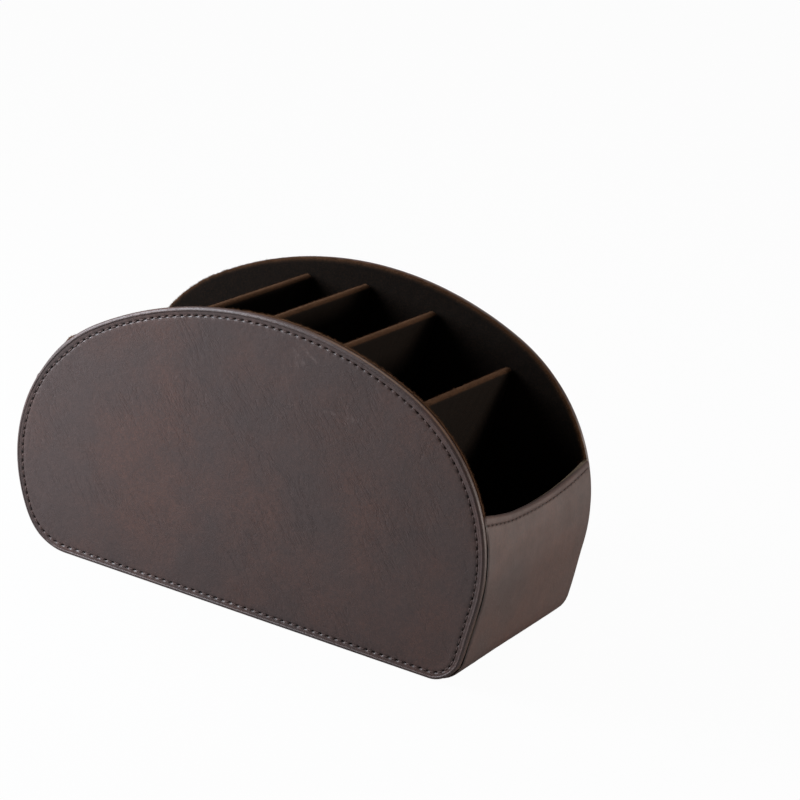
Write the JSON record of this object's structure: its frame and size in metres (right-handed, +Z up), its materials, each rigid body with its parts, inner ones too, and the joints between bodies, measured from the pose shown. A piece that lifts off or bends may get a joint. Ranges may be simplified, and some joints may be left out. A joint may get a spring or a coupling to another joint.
{
  "type": "remote control holder",
  "caption": "Leather-covered tabletop caddy with D-shaped panels and felt-lined slanted compartments that hold remote controls upright",
  "frame": {"origin": "on the floor, under the middle of the holder", "axes": "X along the holder, Y from the front panel to the back panel, Z up"},
  "size_m": [0.2384, 0.1104, 0.1374],
  "materials": {
    "leather": "dark brown, fine grained, soft sheen",
    "felt": "brown brushed felt, matt",
    "board": "plain grey board"
  },
  "bodies": {
    "root": {"front_panel_leather": "leather", "front_panel_board": "board", "front_panel_lining": "felt", "back_panel_leather": "leather", "back_panel_board": "board", "back_panel_lining": "felt", "band_leather": "leather", "left_end_board": "board", "bottom_board": "board", "right_end_board": "board", "band_lining": "felt", "divider_1_board": "board", "divider_1_felt": "felt", "divider_2_board": "board", "divider_2_felt": "felt", "divider_3_board": "board", "divider_3_felt": "felt", "divider_4_board": "board", "divider_4_felt": "felt"}
  },
  "joints": []
}
